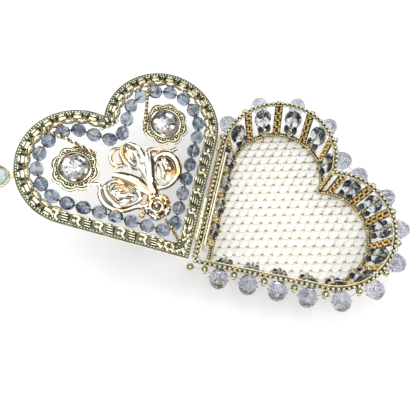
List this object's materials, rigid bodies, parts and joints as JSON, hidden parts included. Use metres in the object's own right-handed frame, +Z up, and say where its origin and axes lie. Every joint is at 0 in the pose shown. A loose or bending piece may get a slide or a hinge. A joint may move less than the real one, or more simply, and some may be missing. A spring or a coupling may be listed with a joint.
{
  "type": "wedding arras box",
  "caption": "Open heart-shaped trinket box of gold wire and crystal beads, with a mesh floor and an openwork lid hinged along one straight side.",
  "frame": {"origin": "the middle of the box's footprint on the ground it stands on, with the lid open", "axes": "+X from the lid across the hinge to the basket, +Y along the hinge from the heart's tip to its lobes, +Z up"},
  "size_m": [0.1724, 0.0946, 0.0484],
  "materials": {
    "pale_gold": "pale champagne gold plate, polished relief",
    "post_gold": "yellow gold embossed strip",
    "flower_gold": "highly polished casting with warm shadows",
    "hinge_gold": "brown gold wire",
    "clear_crystal": "clear faceted crystal with a faint lilac grey tint",
    "inner_beads": "blue grey faceted crystal",
    "lid_beads": "blue grey faceted crystal",
    "rhinestone": "multifaceted rhinestone, lilac and cream",
    "opal": "milky mint white cabochon"
  },
  "bodies": {
    "base": {"base_rim_wire": "pale_gold", "base_floor_rim": "pale_gold", "base_floor_mesh": "pale_gold", "wall_post_01": "post_gold", "wall_post_02": "post_gold", "wall_post_03": "post_gold", "wall_post_04": "post_gold", "wall_post_05": "post_gold", "wall_post_06": "post_gold", "wall_post_07": "post_gold", "wall_post_08": "post_gold", "wall_post_09": "post_gold", "wall_post_10": "post_gold", "wall_post_11": "post_gold", "wall_post_12": "post_gold", "wall_post_13": "post_gold", "wall_post_14": "post_gold", "wall_post_15": "post_gold", "wall_post_16": "post_gold", "wall_post_17": "post_gold", "wall_post_18": "post_gold", "wall_post_19": "post_gold", "wall_post_20": "post_gold", "wall_post_21": "post_gold", "bay_wire_01": "inner_beads", "bay_wire_02": "inner_beads", "bay_wire_03": "inner_beads", "bay_wire_04": "inner_beads", "bay_wire_05": "inner_beads", "bay_wire_06": "inner_beads", "bay_wire_07": "inner_beads", "bay_wire_08": "inner_beads", "bay_wire_09": "inner_beads", "bay_wire_10": "inner_beads", "bay_wire_11": "inner_beads", "bay_wire_12": "inner_beads", "bay_wire_13": "inner_beads", "bay_wire_14": "inner_beads", "bay_wire_15": "inner_beads", "bay_wire_16": "inner_beads", "bay_wire_17": "inner_beads", "bay_wire_18": "inner_beads", "bay_wire_19": "inner_beads", "outer_crystal_garland": "clear_crystal", "hinge_rod": "hinge_gold", "base_hinge_barrel_lower": "hinge_gold", "base_hinge_barrel_upper": "hinge_gold"},
    "lid": {"lid_hinge_barrel": "hinge_gold", "lid_band": "pale_gold", "lid_bead_loop": "lid_beads", "free_medallion_frame": "pale_gold", "hinge_medallion_frame": "pale_gold", "free_medallion_stone": "rhinestone", "hinge_medallion_stone": "rhinestone", "free_twisted_wire": "hinge_gold", "hinge_twisted_wire": "hinge_gold", "tip_twisted_wire": "hinge_gold", "flower_casting": "flower_gold", "clasp_bezel": "pale_gold", "clasp_cabochon": "opal"}
  },
  "joints": [
    {"name": "lid_hinge", "type": "hinge", "parent": "base", "child": "lid", "pos_m": [-0.00106, -0.00765, 0.02547], "axis": [0, 1, 0], "range_deg": [0, 165.3]}
  ]
}
